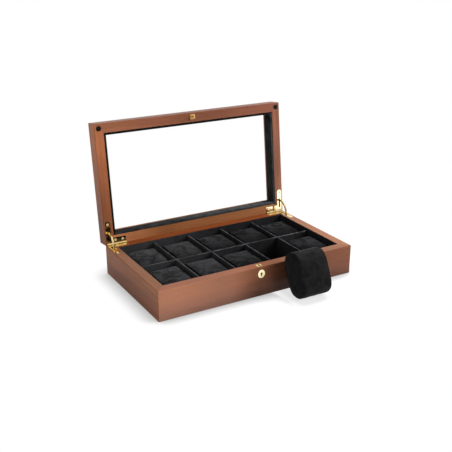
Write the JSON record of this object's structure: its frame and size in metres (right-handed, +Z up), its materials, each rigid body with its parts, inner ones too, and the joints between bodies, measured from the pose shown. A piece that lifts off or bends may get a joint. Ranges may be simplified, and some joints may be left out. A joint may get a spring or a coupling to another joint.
{
  "type": "glass-topped watch display box",
  "caption": "Hinged wooden box with a glass lid, a velvet-lined tray of compartments holding lift-out watch cushions, a box lock and quadrant hinges with stays.",
  "frame": {"origin": "middle of the underside of the base, on the surface the box stands on", "axes": "+X to the right along the front, +Y from the front to the hinged back, +Z up"},
  "size_m": [0.35, 0.3071, 0.2471],
  "materials": {
    "walnut": "satin lacquered walnut",
    "plywood": "plain sanded",
    "cushion_velvet": "black suede velvet",
    "lining_velvet": "black velvet",
    "base_felt": "black felt",
    "clear_glass": "clear polished",
    "polished_brass": "polished",
    "black_rubber": "matt",
    "lock_steel": "plain"
  },
  "bodies": {
    "base": {"base_front_board": "walnut", "base_rear_board": "walnut", "base_left_board": "walnut", "base_right_board": "walnut", "bottom_panel": "plywood", "base_felt": "base_felt", "floor_lining": "lining_velvet", "front_lining": "lining_velvet", "rear_lining": "lining_velvet", "left_lining": "lining_velvet", "right_lining": "lining_velvet", "long_divider": "lining_velvet", "cross_divider_1": "lining_velvet", "cross_divider_2": "lining_velvet", "cross_divider_3": "lining_velvet", "cross_divider_4": "lining_velvet", "left_base_leaf": "polished_brass", "right_base_leaf": "polished_brass", "left_hinge_pin": "polished_brass", "right_hinge_pin": "polished_brass", "base_hinge_screws": "polished_brass", "lock_case": "lock_steel", "lock_cover": "lock_steel", "lock_screws": "lock_steel", "lock_key_pin": "lock_steel", "lock_plate": "polished_brass", "lock_plate_rivets": "polished_brass", "keyhole_escutcheon": "polished_brass"},
    "lid": {"lid_front_rail": "walnut", "lid_front_strip": "lining_velvet", "lid_glass": "clear_glass", "lid_hinge_screws": "polished_brass", "lid_left_bumper": "black_rubber", "lid_left_rail": "walnut", "lid_left_strip": "lining_velvet", "lid_rear_rail": "walnut", "lid_rear_strip": "lining_velvet", "lid_right_bumper": "black_rubber", "lid_right_rail": "walnut", "lid_right_strip": "lining_velvet", "lid_strike": "polished_brass", "lid_strike_pins": "polished_brass", "left_lid_leaf": "polished_brass", "right_lid_leaf": "polished_brass"},
    "left_stay": {"left_stay": "polished_brass"},
    "right_stay": {"right_stay": "polished_brass"},
    "lock_bolt": {"lock_bolt": "lock_steel"},
    "cushion_front_1": {"cushion_front_1": "cushion_velvet"},
    "cushion_front_2": {"cushion_front_2": "cushion_velvet"},
    "cushion_front_3": {"cushion_front_3": "cushion_velvet"},
    "cushion_front_5": {"cushion_front_5": "cushion_velvet"},
    "cushion_rear_1": {"cushion_rear_1": "cushion_velvet"},
    "cushion_rear_2": {"cushion_rear_2": "cushion_velvet"},
    "cushion_rear_3": {"cushion_rear_3": "cushion_velvet"},
    "cushion_rear_4": {"cushion_rear_4": "cushion_velvet"},
    "cushion_rear_5": {"cushion_rear_5": "cushion_velvet"},
    "loose_cushion": {"loose_cushion": "cushion_velvet"}
  },
  "joints": [
    {"name": "lid_hinge", "type": "hinge", "parent": "base", "child": "lid", "pos_m": [0, 0.0992, 0.0493], "axis": [-1, 0, 0], "range_deg": [-96.3, 0]},
    {"name": "left_stay_swing", "type": "hinge", "parent": "base", "child": "left_stay", "pos_m": [0, 0.0992, 0.0493], "axis": [-1, 0, 0], "range_deg": [-48.15, 0]},
    {"name": "right_stay_swing", "type": "hinge", "parent": "base", "child": "right_stay", "pos_m": [0, 0.0992, 0.0493], "axis": [-1, 0, 0], "range_deg": [-48.15, 0]},
    {"name": "cushion_front_1_lift", "type": "slide", "parent": "base", "child": "cushion_front_1", "axis": [0, 0, 1], "range_m": [0, 0.08]},
    {"name": "cushion_front_2_lift", "type": "slide", "parent": "base", "child": "cushion_front_2", "axis": [0, 0, 1], "range_m": [0, 0.08]},
    {"name": "cushion_front_3_lift", "type": "slide", "parent": "base", "child": "cushion_front_3", "axis": [0, 0, 1], "range_m": [0, 0.08]},
    {"name": "cushion_front_5_lift", "type": "slide", "parent": "base", "child": "cushion_front_5", "axis": [0, 0, 1], "range_m": [0, 0.08]},
    {"name": "cushion_rear_1_lift", "type": "slide", "parent": "base", "child": "cushion_rear_1", "axis": [0, 0, 1], "range_m": [0, 0.08]},
    {"name": "cushion_rear_2_lift", "type": "slide", "parent": "base", "child": "cushion_rear_2", "axis": [0, 0, 1], "range_m": [0, 0.08]},
    {"name": "cushion_rear_3_lift", "type": "slide", "parent": "base", "child": "cushion_rear_3", "axis": [0, 0, 1], "range_m": [0, 0.08]},
    {"name": "cushion_rear_4_lift", "type": "slide", "parent": "base", "child": "cushion_rear_4", "axis": [0, 0, 1], "range_m": [0, 0.08]},
    {"name": "cushion_rear_5_lift", "type": "slide", "parent": "base", "child": "cushion_rear_5", "axis": [0, 0, 1], "range_m": [0, 0.08]},
    {"name": "loose_cushion_lift", "type": "slide", "parent": "base", "child": "loose_cushion", "axis": [0, 0, 1], "range_m": [0, 0.1]},
    {"name": "bolt_throw", "type": "slide", "parent": "base", "child": "lock_bolt", "axis": [1, 0, 0], "range_m": [0, 0.005]}
  ],
  "couplings": [
    {"joint": "left_stay_swing", "follows": "lid_hinge", "ratio": 0.5},
    {"joint": "right_stay_swing", "follows": "lid_hinge", "ratio": 0.5}
  ]
}
